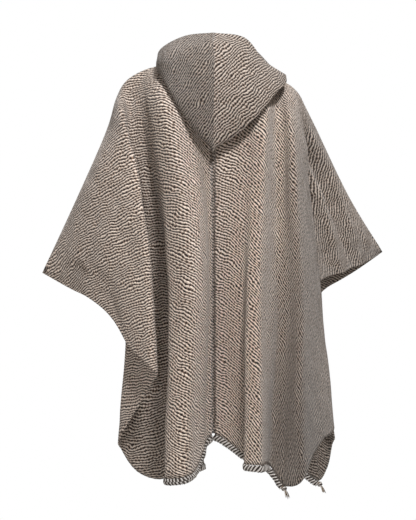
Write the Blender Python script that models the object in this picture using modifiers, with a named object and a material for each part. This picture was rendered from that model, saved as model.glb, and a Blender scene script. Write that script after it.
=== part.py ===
"""Hooded wool poncho, worn, with its arms slightly out.

Two loom widths of heavy twill run from the front hem over the shoulders to the back hem.
They are sewn together down the centre back and the centre front, with a hole for the neck.
A pointed hood in two halves is sewn round that hole and hangs down the back.
The four hems end in a thick cord, whipped on, with a knotted tail at each outer corner.

Lengths in the tables are millimetres. +X is the wearer's left, +Y the back, +Z up.
The origin is the middle of the neck hole, level with the shoulders.
"""
import math

import bmesh
import bpy
import numpy as np

MM = 0.001

PANEL_WIDTH = 740.0
PANEL_HALF_LENGTH = 950.0
CLOTH_WALL = 3.0
SEAM_GAP = 0.3
SEAM_STRIP = 7.0

NECK_HALF_WIDTH = 78.0
NECK_BACK_DEPTH = 62.0
NECK_BACK_DROP = 8.0
NECK_FRONT_DEPTH = 75.0
NECK_FRONT_DROP = 45.0

CORD_DEPTH = 14.0
CORD_HALF_THICKNESS = 4.0
CORD_SIDES = 6
CORD_SEAT = 1.4
KNOT_RADIUS = 8.0
TAIL_STEPS = ((6.0, -2.0, 1.0), (13.0, -9.0, 0.5), (20.0, -20.0, 0.2))
SEAM_OVERRUN = 5.0

MID_SHARE = 0.38
CROWN_ACROSS = 0.10
CROWN_OUT = 0.45
CROWN_DOWN = 0.12
RIDGE_SAMPLES = 12
FOLD_SAMPLES = (16, 24, 32)
WELD_DISTANCE = 0.02
CUT_TOLERANCE = 1e-7
SHORTEST_GAP = 1e-6
ROWS_DOWN = (0.0, 0.03, 0.07, 0.125, 0.19, 0.27, 0.36, 0.46, 0.56, 0.66, 0.76, 0.86, 0.94, 1.0)

# The ridge runs from the side of the neck over the shoulder and along the arm to the tip.
RIDGE_LEFT = ((78, 0, 0), (140, 0, -2), (190, 0, -20), (220, -2, -42), (241, -5, -80),
              (262, -10, -150), (345, -50, -330), (437, -90, -518))
RIDGE_RIGHT = ((-78, 0, 0), (-120, 0, -12), (-160, 0, -33), (-192, -1, -49), (-214, -6, -70),
               (-230, -18, -98), (-254, -47, -138), (-358, -140, -328), (-450, -200, -464))

# One row for each fold line, from the tip of the sleeve to the centre seam.
# ridge: where it starts, as a distance from the centre along the ridge
# cuts: pieces that the stretch to the next fold line is cut into
# mid: across and depth at MID_SHARE of the way down
# end: across, depth and height at the edge of the cloth
# edge: distance from the tip along the side edge and then the hem, to that end
FOLD_COLUMNS = ("name", "ridge", "cuts", "mid", "end", "edge")
BACK_LEFT = (
    ("tip", 740, 1, (437, -90), (437, -90, -518), 0),
    ("cuff outer", 640, 1, (384, -44), (356, -35, -558), 106),
    ("cuff middle", 540, 2, (344, -2), (306, 12, -580), 177),
    ("cuff inner", 430, 2, (287, 44), (245, 60, -632), 272),
    ("sleeve back", 330, 2, (238, 74), (206, 100, -693), 354),
    ("sleeve near fold", 276, 1, (200, 94), (168, 134, -727), 410),
    ("first fold", 258, 1, (178, 101), (143, 153, -748), 445),
    ("first fold edge", 253, 1, (172, 92), (132, 138, -760), 466),
    ("first fold under", 248, 1, (174, 80), (143, 121, -772), 487),
    ("middle layer", 240, 1, (186, 66), (183, 78, -844), 590),
    ("second fold", 232, 1, (203, 50), (233, 30, -934), 695),
    ("second fold under", 224, 1, (200, 37), (229, 6, -957), 722),
    ("shaded layer", 216, 1, (186, 33), (189, 8, -1012), 800),
    ("shaded layer inner", 208, 1, (166, 37), (130, 20, -1030), 870),
    ("corner", 200, 1, (146, 45), (72, 32, -1018), 950),
    ("hidden fold", 192, 1, (128, 54), (24, 38, -1002), 1000),
    ("hidden fold over", 184, 1, (124, 68), (28, 68, -1000), 1035),
    ("returning layer", 176, 1, (118, 82), (74, 126, -1010), 1130),
    ("crest edge", 168, 1, (118, 104), (113, 180, -1012), 1225),
    ("crest edge over", 158, 2, (110, 124), (107, 203, -1012), 1255),
    ("crest", 138, 2, (68, 158), (68, 218, -1006), 1350),
    ("crest flank", 112, 2, (40, 150), (38, 162, -992), 1450),
    ("neck side", 78, 3, (24, 132), (24, 114, -962), 1540),
    ("neck back", 40, 1, (14, 118), (17, 84, -936), 1620),
    ("centre", 0, 1, (0, 112), (0, 62, -922), 1690),
)
FRONT_LEFT = (
    ("tip", 740, 1, (437, -90), (437, -90, -518), 0),
    ("cuff outer", 640, 1, (388, -112), (366, -128, -542), 100),
    ("cuff middle", 540, 2, (348, -122), (315, -160, -564), 165),
    ("cuff inner", 430, 2, (300, -128), (264, -185, -606), 240),
    ("sleeve front", 330, 2, (256, -132), (218, -202, -662), 315),
    ("sleeve near fold", 276, 1, (224, -132), (182, -212, -704), 370),
    ("first fold", 258, 1, (199, -130), (154, -216, -736), 410),
    ("first fold edge", 253, 1, (193, -121), (145, -203, -750), 430),
    ("first fold under", 248, 1, (192, -112), (150, -192, -760), 450),
    ("middle layer", 240, 1, (196, -94), (184, -140, -832), 560),
    ("second fold", 232, 1, (206, -78), (222, -82, -915), 670),
    ("second fold under", 224, 1, (203, -62), (218, -58, -936), 700),
    ("shaded layer", 216, 1, (190, -58), (184, -48, -980), 780),
    ("shaded layer inner", 208, 1, (174, -61), (144, -48, -1000), 860),
    ("corner", 200, 1, (160, -68), (106, -54, -1006), 950),
    ("hidden fold", 192, 1, (147, -77), (72, -62, -998), 1000),
    ("hidden fold over", 184, 1, (143, -90), (75, -92, -998), 1035),
    ("returning layer", 176, 1, (146, -104), (114, -142, -1004), 1130),
    ("crest edge", 168, 1, (150, -120), (150, -190, -1002), 1225),
    ("crest edge over", 158, 2, (140, -134), (142, -212, -1000), 1255),
    ("crest", 138, 2, (92, -152), (94, -222, -992), 1350),
    ("crest flank", 112, 2, (60, -144), (60, -176, -978), 1450),
    ("neck side", 78, 3, (36, -132), (36, -134, -958), 1540),
    ("neck front", 40, 1, (18, -124), (20, -106, -935), 1620),
    ("centre", 0, 1, (0, -120), (0, -98, -924), 1690),
)
BACK_RIGHT = (
    ("tip", 740, 1, (-450, -200), (-450, -200, -464), 0),
    ("cuff outer", 650, 1, (-404, -146), (-398, -150, -490), 77),
    ("cuff middle", 550, 2, (-356, -100), (-340, -92, -513), 160),
    ("cuff inner", 440, 2, (-300, -48), (-286, -42, -531), 237),
    ("sleeve back", 340, 2, (-256, -4), (-240, 2, -562), 300),
    ("first fold", 262, 1, (-219, 20), (-214, 16, -592), 350),
    ("first fold over", 250, 1, (-210, 36), (-214, 38, -615), 378),
    ("middle layer", 240, 1, (-223, 48), (-258, 40, -760), 520),
    ("second fold", 232, 1, (-239, 57), (-292, 40, -884), 655),
    ("second fold edge", 226, 1, (-243, 67), (-297, 53, -897), 672),
    ("second fold over", 220, 1, (-238, 78), (-290, 67, -909), 695),
    ("body near fold", 210, 1, (-228, 98), (-266, 98, -920), 740),
    ("body outer", 198, 1, (-215, 117), (-238, 138, -957), 805),
    ("side crest", 186, 1, (-200, 128), (-206, 172, -1013), 880),
    ("corner", 174, 1, (-181, 101), (-170, 132, -1040), 950),
    ("valley", 160, 2, (-152, 96), (-139, 106, -1000), 1030),
    ("crest", 138, 2, (-112, 154), (-106, 212, -980), 1150),
    ("crest edge", 124, 1, (-90, 150), (-76, 194, -979), 1250),
    ("crest edge under", 114, 1, (-84, 141), (-81, 172, -972), 1290),
    ("step foot", 104, 1, (-77, 132), (-80, 152, -966), 1370),
    ("rise", 93, 1, (-64, 128), (-66, 140, -958), 1420),
    ("neck side", 78, 3, (-46, 124), (-47, 120, -945), 1500),
    ("neck back", 40, 1, (-21, 117), (-22, 88, -930), 1610),
    ("centre", 0, 1, (0, 112), (0, 62, -922), 1690),
)
FRONT_RIGHT = (
    ("tip", 740, 1, (-450, -200), (-450, -200, -464), 0),
    ("cuff outer", 650, 1, (-408, -186), (-393, -190, -503), 75),
    ("cuff middle", 550, 2, (-362, -172), (-340, -172, -535), 140),
    ("cuff inner", 440, 2, (-308, -140), (-291, -144, -563), 200),
    ("sleeve front", 340, 2, (-262, -107), (-250, -102, -605), 270),
    ("first fold", 262, 1, (-222, -80), (-214, -86, -650), 330),
    ("first fold over", 250, 1, (-212, -95), (-212, -110, -670), 355),
    ("middle layer", 240, 1, (-225, -106), (-258, -132, -795), 500),
    ("second fold", 232, 1, (-240, -113), (-308, -122, -928), 655),
    ("second fold edge", 226, 1, (-243, -123), (-318, -135, -948), 675),
    ("second fold over", 220, 1, (-238, -131), (-312, -149, -968), 705),
    ("side edge", 210, 1, (-231, -138), (-301, -163, -1030), 800),
    ("corner", 198, 1, (-220, -142), (-279, -170, -1082), 950),
    ("side crest", 186, 1, (-207, -150), (-240, -190, -1056), 1000),
    ("valley", 174, 1, (-188, -121), (-200, -104, -1035), 1060),
    ("crest flank", 160, 2, (-160, -146), (-154, -180, -1020), 1130),
    ("crest", 138, 2, (-114, -164), (-112, -226, -1000), 1230),
    ("crest edge", 124, 1, (-92, -156), (-82, -210, -990), 1290),
    ("crest edge under", 114, 1, (-84, -141), (-84, -176, -984), 1330),
    ("hidden fold", 104, 1, (-82, -116), (-110, -96, -974), 1420),
    ("hidden fold under", 93, 1, (-72, -106), (-100, -70, -966), 1460),
    ("neck side", 78, 3, (-46, -116), (-50, -76, -948), 1560),
    ("neck front", 40, 1, (-20, -119), (-21, -92, -932), 1630),
    ("centre", 0, 1, (0, -120), (0, -98, -924), 1690),
)

# One row for each line of the hood from the neckline up to its own centre seam.
# The first follows the face opening and the last the back of the neck down to the point.
# cuts: pieces up to the next line; the other columns are points on the way
HOOD_COLUMNS = ("name", "cuts", "base", "roll", "under", "fold", "outer", "upper", "seam")
HOOD_CUTS = (3, 3, 4, 4, 2, 2)
HOOD_LEFT = (
    ("face edge", 3, (3, -66, -42), (62, -62, 10), (114, -34, 18), (136, 22, 22),
     (122, 68, 36), (66, 104, 57), (0, 116, 62)),
    ("neck front", 3, (47, -46, -20), (78, -42, 34), (124, 4, 12), (138, 62, -10),
     (112, 112, 2), (54, 140, 20), (0, 152, 28)),
    ("neck side", 3, (67, 0, -2), (92, 6, 42), (122, 46, 4), (119, 100, -48),
     (78, 140, -50), (34, 158, -42), (0, 166, -32)),
    ("neck back", 3, (47, 37, -6), (62, 56, 44), (84, 92, -40), (84, 126, -114),
     (52, 152, -122), (22, 162, -114), (0, 166, -108)),
    ("near centre", 3, (21, 55, -9), (28, 72, 44), (34, 112, -90), (34, 138, -186),
     (20, 150, -190), (9, 154, -188), (0, 156, -186)),
    ("centre", 1, (0, 58, -9), (0, 74, 44), (0, 116, -100), (0, 134, -210),
     (0, 139, -221), (0, 142, -226), (0, 145, -230)),
)
HOOD_RIGHT = (
    ("face edge", 3, (-3, -66, -42), (-64, -60, 8), (-122, -36, 8), (-180, 26, -27),
     (-124, 78, 1), (-76, 104, 52), (0, 116, 62)),
    ("neck front", 3, (-47, -46, -20), (-82, -40, 32), (-138, 8, 2), (-178, 58, -50),
     (-116, 114, -24), (-60, 138, 14), (0, 152, 28)),
    ("neck side", 3, (-67, 0, -2), (-94, 8, 40), (-134, 52, -8), (-148, 108, -84),
     (-98, 146, -72), (-46, 158, -46), (0, 166, -32)),
    ("neck back", 3, (-47, 37, -6), (-64, 56, 44), (-96, 92, -50), (-108, 140, -136),
     (-70, 158, -134), (-32, 164, -118), (0, 166, -108)),
    ("near centre", 3, (-21, 53.5, -9), (-30, 72, 44), (-40, 112, -96), (-42, 140, -194),
     (-26, 150, -194), (-11, 155, -190), (0, 156, -186)),
    ("centre", 1, (0, 58, -9), (0, 74, 44), (0, 116, -100), (0, 134, -210),
     (0, 139, -221), (0, 142, -226), (0, 145, -230)),
)


def clear_scene():
    """Remove what a new file holds, so the model stands alone."""
    for item in list(bpy.data.objects):
        bpy.data.objects.remove(item, do_unlink=True)


def material(name, colour, roughness):
    """Plain cloth or yarn finish in the part's own colour."""
    made = bpy.data.materials.new(name)
    made.use_nodes = True
    shader = made.node_tree.nodes["Principled BSDF"]
    shader.inputs["Base Color"].default_value = (*colour, 1.0)
    shader.inputs["Roughness"].default_value = roughness
    shader.inputs["Metallic"].default_value = 0.0
    return made


def spline(points, cuts, power=0.5):
    """Smooth curve through the points, each stretch cut into its own number of pieces."""
    knots = np.asarray(points, dtype=float)
    padded = np.vstack([2 * knots[0] - knots[1], knots, 2 * knots[-1] - knots[-2]])
    gaps = np.maximum(np.linalg.norm(np.diff(padded, axis=0), axis=1), SHORTEST_GAP) ** power
    places = np.concatenate([[0.0], np.cumsum(gaps)])
    out = []
    for i, pieces in enumerate(cuts):
        a, b, c, d = padded[i:i + 4]
        ta, tb, tc, td = places[i:i + 4]
        for step in range(pieces):
            t = tb + (tc - tb) * step / pieces
            ab = a * (tb - t) / (tb - ta) + b * (t - ta) / (tb - ta)
            bc = b * (tc - t) / (tc - tb) + c * (t - tb) / (tc - tb)
            cd = c * (td - t) / (td - tc) + d * (t - tc) / (td - tc)
            abc = ab * (tc - t) / (tc - ta) + bc * (t - ta) / (tc - ta)
            bcd = bc * (td - t) / (td - tb) + cd * (t - tb) / (td - tb)
            out.append(abc * (tc - t) / (tc - tb) + bcd * (t - tb) / (tc - tb))
    out.append(knots[-1])
    return np.array(out)


def along(polyline, share):
    """Point of a polyline at a share of its whole length."""
    steps = np.linalg.norm(np.diff(polyline, axis=0), axis=1)
    reach = np.concatenate([[0.0], np.cumsum(steps)])
    return np.array([np.interp(share * reach[-1], reach, polyline[:, k]) for k in range(3)])


def blend_steps(values, cuts):
    """Evenly stepped values between the rows of a table, in the same pieces as its spline."""
    out = []
    for first, last, pieces in zip(values[:-1], values[1:], cuts):
        out += [first + (last - first) * step / pieces for step in range(pieces)]
    return out + [values[-1]]


def ridge_curve(ridge):
    """Finely cut line along the top of a panel, from the neck to the tip."""
    return spline(ridge, [RIDGE_SAMPLES] * (len(ridge) - 1))


def top_point(ridge_line, distance, side, face):
    """Where a fold line starts: on the ridge, or on the neckline for short distances."""
    if distance >= NECK_HALF_WIDTH:
        share = (distance - NECK_HALF_WIDTH) / (PANEL_WIDTH - NECK_HALF_WIDTH)
        return along(ridge_line, share)
    turn = math.acos(distance / NECK_HALF_WIDTH)
    depth = NECK_BACK_DEPTH if face > 0 else NECK_FRONT_DEPTH
    drop = NECK_BACK_DROP if face > 0 else NECK_FRONT_DROP
    return np.array([side * distance, face * depth * math.sin(turn), -drop * math.sin(turn) ** 2])


def fold_line(top, mid, end, shares):
    """Points down one fold line, which rounds the shoulder and then falls to the edge."""
    middle = np.array([mid[0], mid[1], top[2] + MID_SHARE * (end[2] - top[2])])
    crown = top + (middle - top) * np.array([CROWN_ACROSS, CROWN_OUT, CROWN_DOWN])
    dense = spline([top, crown, middle, end], FOLD_SAMPLES, power=1.0)
    return np.array([along(dense, share) for share in shares])


def face_grid(table, ridge, side, face, shares, fine=1, cord=CORD_DEPTH):
    """Grid of points of one panel's back or front, fold lines across and rows down."""
    rows = [dict(zip(FOLD_COLUMNS, row)) for row in table]
    ridge_line = ridge_curve(ridge)
    lines = []
    for row in rows:
        top = top_point(ridge_line, row["ridge"], side, face)
        end = np.array(row["end"], dtype=float)
        if row["edge"] >= PANEL_HALF_LENGTH:
            end = end + np.array([0.0, 0.0, cord + CORD_SEAT])
        lines.append(fold_line(top, row["mid"], end, shares))
    cuts = [row["cuts"] * fine for row in rows[:-1]]
    across = [spline([line[k] for line in lines], cuts) for k in range(len(shares))]
    grid = np.array(across).transpose(1, 0, 2)
    starts = blend_steps([row["ridge"] for row in rows], cuts)
    grid[:, 0] = [top_point(ridge_line, start, side, face) for start in starts]
    strip = grid[-1].copy()
    strip[:, 0] = side * SEAM_STRIP
    grid[-1][:, 0] = side * SEAM_GAP / 2
    return np.concatenate([grid[:-1], [strip], grid[-1:]])


def add_grid(mesh, grid, flip):
    """Add a grid of points to a bmesh as four-sided faces."""
    corners = [[mesh.verts.new(point * MM) for point in line] for line in grid]
    for left, right in zip(corners[:-1], corners[1:]):
        for k in range(len(left) - 1):
            loop = (left[k], left[k + 1], right[k + 1], right[k])
            mesh.faces.new(loop[::-1] if flip else loop)


def link_object(name, collection, finish, mesh):
    """Turn a bmesh into a named object with one finish."""
    data = bpy.data.meshes.new(name)
    mesh.to_mesh(data)
    mesh.free()
    data.materials.append(finish)
    data.shade_smooth()
    made = bpy.data.objects.new(name, data)
    collection.objects.link(made)
    return made


def cloth_object(name, collection, finish, grids):
    """Cloth wall through one or more grids that share an edge."""
    mesh = bmesh.new()
    for grid, flip in grids:
        add_grid(mesh, grid, flip)
    bmesh.ops.remove_doubles(mesh, verts=mesh.verts, dist=WELD_DISTANCE * MM)
    bmesh.ops.dissolve_degenerate(mesh, edges=mesh.edges, dist=WELD_DISTANCE * MM)
    made = link_object(name, collection, finish, mesh)
    wall = made.modifiers.new("wall", "SOLIDIFY")
    wall.thickness = CLOTH_WALL * MM
    wall.offset = 0.0
    wall.use_even_offset = False
    return made


def trim_at_seam(made, side):
    """Cut a walled piece flat at the centre seam and close the cut."""
    graph = bpy.context.evaluated_depsgraph_get()
    mesh = bmesh.new()
    mesh.from_mesh(made.evaluated_get(graph).to_mesh())
    everything = mesh.verts[:] + mesh.edges[:] + mesh.faces[:]
    cut = bmesh.ops.bisect_plane(mesh, geom=everything, dist=CUT_TOLERANCE,
                                 clear_inner=True, plane_co=(side * SEAM_GAP / 2 * MM, 0, 0),
                                 plane_no=(side, 0, 0))
    rim = [item for item in cut["geom_cut"] if isinstance(item, bmesh.types.BMEdge)]
    bmesh.ops.triangle_fill(mesh, edges=rim, use_beauty=True)
    bmesh.ops.recalc_face_normals(mesh, faces=mesh.faces)
    made.modifiers.clear()
    mesh.to_mesh(made.data)
    mesh.free()


def hood_grid(table, side, fine=1):
    """Grid of one half of the hood, run a little past the centre seam."""
    rows = [dict(zip(HOOD_COLUMNS, row)) for row in table]
    down = [cut * fine for cut in HOOD_CUTS]
    lines = [spline([row[key] for key in HOOD_COLUMNS[2:]], down) for row in rows]
    cuts = [row["cuts"] * fine for row in rows[:-1]]
    across = [spline([line[k] for line in lines], cuts) for k in range(len(lines[0]))]
    grid = np.array(across).transpose(1, 0, 2)
    past = np.array([-side * SEAM_OVERRUN, 0.0, 0.0])
    grid = np.concatenate([grid, grid[-1:] + past])
    last = grid[:, -1:] * np.array([0.0, 1.0, 1.0]) + past
    return np.concatenate([grid, last], axis=1)


def hood_half(name, collection, finish, table, side):
    """Half of the hood: up from the neckline, over, down the back and up to its mouth."""
    made = cloth_object(name, collection, finish, [(hood_grid(table, side), side < 0)])
    trim_at_seam(made, side)


def column_of(table, wanted, fine=1):
    """Number of the grid column that a named fold line has."""
    count = 0
    for row in table:
        if row[0] == wanted:
            return count
        count += row[2] * fine
    raise ValueError(wanted)


def frame_at(path, i):
    """Directions across and up from a path at one of its points; it ends running level."""
    run = path[min(i + 1, len(path) - 1)] - path[max(i - 1, 0)]
    if i >= len(path) - 2:
        run = path[-1] - path[-2]
    out = np.cross(run, (0.0, 0.0, 1.0))
    out /= np.linalg.norm(out)
    up = np.cross(out, run)
    return out, up / np.linalg.norm(up)


def sweep(path, halves):
    """Closed flattened tube along a path, with a half height and thickness at each point."""
    mesh = bmesh.new()
    rings = []
    for i, centre in enumerate(path):
        out, up = frame_at(path, i)
        ring = []
        for k in range(CORD_SIDES):
            turn = 2 * math.pi * k / CORD_SIDES
            point = centre + out * halves[i][1] * math.cos(turn) + up * halves[i][0] * math.sin(turn)
            ring.append(mesh.verts.new(point * MM))
        rings.append(ring)
    for ring, after in zip(rings[:-1], rings[1:]):
        for k in range(CORD_SIDES):
            nxt = (k + 1) % CORD_SIDES
            mesh.faces.new((ring[k], ring[nxt], after[nxt], after[k]))
    mesh.faces.new(rings[0][::-1])
    mesh.faces.new(rings[-1])
    bmesh.ops.recalc_face_normals(mesh, faces=mesh.faces)
    return mesh


def hem_cord(name, collection, finish, table, grid):
    """Thick whipped edge under one hem, from the knot at its corner to the centre seam."""
    half = CORD_DEPTH / 2 / math.sin(math.pi / 3)
    edge = grid[column_of(table, "corner"):, -1]
    hang = CORD_SEAT + CORD_DEPTH / 2
    hem = np.array([edge[i] - hang * frame_at(edge, i)[1] for i in range(len(edge))])
    away = hem[0] - hem[1]
    away[2] = 0.0
    away /= np.linalg.norm(away)
    path = [hem[0] + away * out + np.array([0.0, 0.0, drop]) for out, drop, _ in TAIL_STEPS]
    halves = [(KNOT_RADIUS * size, KNOT_RADIUS * size) for _, _, size in TAIL_STEPS]
    path = path[::-1] + list(hem)
    halves = halves[::-1] + [(half, CORD_HALF_THICKNESS)] * len(hem)
    link_object(name, collection, finish, sweep(path, halves))


def panel(name, collection, finish, edge_finish, ridge, back, front, side):
    """One loom width, from the front hem over the shoulder to the back hem, and its cords."""
    back_grid = face_grid(back, ridge, side, 1, ROWS_DOWN)
    front_grid = face_grid(front, ridge, side, -1, ROWS_DOWN)
    cloth_object("panel_" + name, collection, finish,
                 [(back_grid, side < 0), (front_grid, side > 0)])
    hem_cord("hem_cord_back_" + name, collection, edge_finish, back, back_grid)
    hem_cord("hem_cord_front_" + name, collection, edge_finish, front, front_grid)


def build():
    clear_scene()
    collection = bpy.data.collections.new("poncho")
    bpy.context.scene.collection.children.link(collection)
    wool = material("wool twill", (0.30, 0.24, 0.20), 0.95)
    yarn = material("edge yarn", (0.36, 0.30, 0.25), 0.9)
    panel("left", collection, wool, yarn, RIDGE_LEFT, BACK_LEFT, FRONT_LEFT, 1)
    panel("right", collection, wool, yarn, RIDGE_RIGHT, BACK_RIGHT, FRONT_RIGHT, -1)
    hood_half("hood_left", collection, wool, HOOD_LEFT, 1)
    hood_half("hood_right", collection, wool, HOOD_RIGHT, -1)


build()
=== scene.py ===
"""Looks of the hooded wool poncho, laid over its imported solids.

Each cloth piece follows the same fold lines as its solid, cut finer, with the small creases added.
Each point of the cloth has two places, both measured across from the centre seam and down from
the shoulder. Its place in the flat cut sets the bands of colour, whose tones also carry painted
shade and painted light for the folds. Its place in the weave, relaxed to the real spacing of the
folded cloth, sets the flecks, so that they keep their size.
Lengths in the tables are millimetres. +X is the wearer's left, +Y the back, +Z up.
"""

import math
import random

import bmesh
import bpy
import numpy as np
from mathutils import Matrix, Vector


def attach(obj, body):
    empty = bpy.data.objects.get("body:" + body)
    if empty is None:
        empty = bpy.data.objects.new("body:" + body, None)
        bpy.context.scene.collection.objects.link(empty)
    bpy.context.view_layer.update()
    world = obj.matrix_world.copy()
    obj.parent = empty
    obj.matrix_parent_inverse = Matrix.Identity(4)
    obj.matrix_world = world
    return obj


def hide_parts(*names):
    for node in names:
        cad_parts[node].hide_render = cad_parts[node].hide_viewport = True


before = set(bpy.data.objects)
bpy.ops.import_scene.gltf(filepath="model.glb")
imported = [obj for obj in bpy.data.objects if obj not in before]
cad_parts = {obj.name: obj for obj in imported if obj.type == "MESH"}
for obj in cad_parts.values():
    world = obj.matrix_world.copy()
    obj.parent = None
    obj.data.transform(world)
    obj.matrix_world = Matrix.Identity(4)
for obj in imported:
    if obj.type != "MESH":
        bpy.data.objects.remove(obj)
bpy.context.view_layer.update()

MM = 0.001
SEED = 7

# The flat cut of one panel, its wall and its centre seam
PANEL_WIDTH = 740.0
PANEL_HALF_LENGTH = 950.0
CLOTH_WALL = 3.0
SEAM_GAP = 0.3
SEAM_STRIP = 7.0

NECK_HALF_WIDTH = 78.0
NECK_BACK_DEPTH = 62.0
NECK_BACK_DROP = 8.0
NECK_FRONT_DEPTH = 75.0
NECK_FRONT_DROP = 45.0

CORD_DEPTH = 14.0
CORD_HALF_THICKNESS = 4.0
CORD_SEAT = 1.4
# How far the hood's halves run past the centre before they are cut there
SEAM_OVERRUN = 5.0

# How a fold line rounds the shoulder: the crown lies these shares of the way to its middle point
MID_SHARE = 0.38
CROWN_ACROSS = 0.10
CROWN_OUT = 0.45
CROWN_DOWN = 0.12
RIDGE_SAMPLES = 12
FOLD_SAMPLES = (16, 24, 32)
WELD_DISTANCE = 0.02
CUT_TOLERANCE = 1e-7
SHORTEST_GAP = 1e-6

# Shares of the way down a fold line at which the grid has a row, closest at the shoulder
ROW_STEPS = (0.0, 0.03, 0.07, 0.125, 0.19, 0.27, 0.36, 0.46, 0.56, 0.66, 0.76, 0.86, 0.94, 1.0)
ROWS_PER_STEP = 6
FINE_ACROSS = 4
FINE_HOOD = 4
# How weave places are relaxed: rounds, pull of each span and how far each round evens the drift
UNROLL_ROUNDS = 400
UNROLL_PULL = 0.11
UNROLL_EASE = 0.25
# How much narrower the gathered cloth by the centre seam lies than the loom's width, and how far
CENTRE_GATHER = 40.0
GATHER_REACH = 100.0

# The ridge runs from the side of the neck over the shoulder and along the arm to the tip.
RIDGE_LEFT = ((78, 0, 0), (140, 0, -2), (190, 0, -20), (220, -2, -42), (241, -5, -80),
              (262, -10, -150), (345, -50, -330), (437, -90, -518))
RIDGE_RIGHT = ((-78, 0, 0), (-120, 0, -12), (-160, 0, -33), (-192, -1, -49), (-214, -6, -70),
               (-230, -18, -98), (-254, -47, -138), (-358, -140, -328), (-450, -200, -464))

# One row for each fold line, from the tip of the sleeve to the centre seam.
# ridge: where it starts, as a distance from the centre along the ridge
# cuts: pieces that the stretch to the next fold line is cut into
# mid: across and depth at MID_SHARE of the way down
# end: across, depth and height at the edge of the cloth
# edge: distance from the tip along the side edge and then the hem, to that end
# The last three are given for the back, and then again for the front.
FOLD_COLUMNS = ("ridge", "cuts")
FACE_COLUMNS = ("mid", "end", "edge")
FACES = (("back", 1), ("front", -1))
FOLDS_LEFT = (
    (740, 1, (437, -90), (437, -90, -518), 0, (437, -90), (437, -90, -518), 0),
    (640, 1, (384, -44), (356, -35, -558), 106, (388, -112), (366, -128, -542), 100),
    (540, 2, (344, -2), (306, 12, -580), 177, (348, -122), (315, -160, -564), 165),
    (430, 2, (287, 44), (245, 60, -632), 272, (300, -128), (264, -185, -606), 240),
    (330, 2, (238, 74), (206, 100, -693), 354, (256, -132), (218, -202, -662), 315),
    (276, 1, (200, 94), (168, 134, -727), 410, (224, -132), (182, -212, -704), 370),
    (258, 1, (178, 101), (143, 153, -748), 445, (199, -130), (154, -216, -736), 410),
    (253, 1, (172, 92), (132, 138, -760), 466, (193, -121), (145, -203, -750), 430),
    (248, 1, (174, 80), (143, 121, -772), 487, (192, -112), (150, -192, -760), 450),
    (240, 1, (186, 66), (183, 78, -844), 590, (196, -94), (184, -140, -832), 560),
    (232, 1, (203, 50), (233, 30, -934), 695, (206, -78), (222, -82, -915), 670),
    (224, 1, (200, 37), (229, 6, -957), 722, (203, -62), (218, -58, -936), 700),
    (216, 1, (186, 33), (189, 8, -1012), 800, (190, -58), (184, -48, -980), 780),
    (208, 1, (166, 37), (130, 20, -1030), 870, (174, -61), (144, -48, -1000), 860),
    (200, 1, (146, 45), (72, 32, -1018), 950, (160, -68), (106, -54, -1006), 950),
    (192, 1, (128, 54), (24, 38, -1002), 1000, (147, -77), (72, -62, -998), 1000),
    (184, 1, (124, 68), (28, 68, -1000), 1035, (143, -90), (75, -92, -998), 1035),
    (176, 1, (118, 82), (74, 126, -1010), 1130, (146, -104), (114, -142, -1004), 1130),
    (168, 1, (118, 104), (113, 180, -1012), 1225, (150, -120), (150, -190, -1002), 1225),
    (158, 2, (110, 124), (107, 203, -1012), 1255, (140, -134), (142, -212, -1000), 1255),
    (138, 2, (68, 158), (68, 218, -1006), 1350, (92, -152), (94, -222, -992), 1350),
    (112, 2, (40, 150), (38, 162, -992), 1450, (60, -144), (60, -176, -978), 1450),
    (78, 3, (24, 132), (25, 124, -962), 1540, (36, -132), (36, -134, -958), 1540),
    (40, 1, (14, 119), (17, 101, -936), 1620, (18, -124), (20, -106, -935), 1620),
    (0, 1, (0, 113), (0, 86, -922), 1690, (0, -120), (0, -98, -924), 1690),
)
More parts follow.
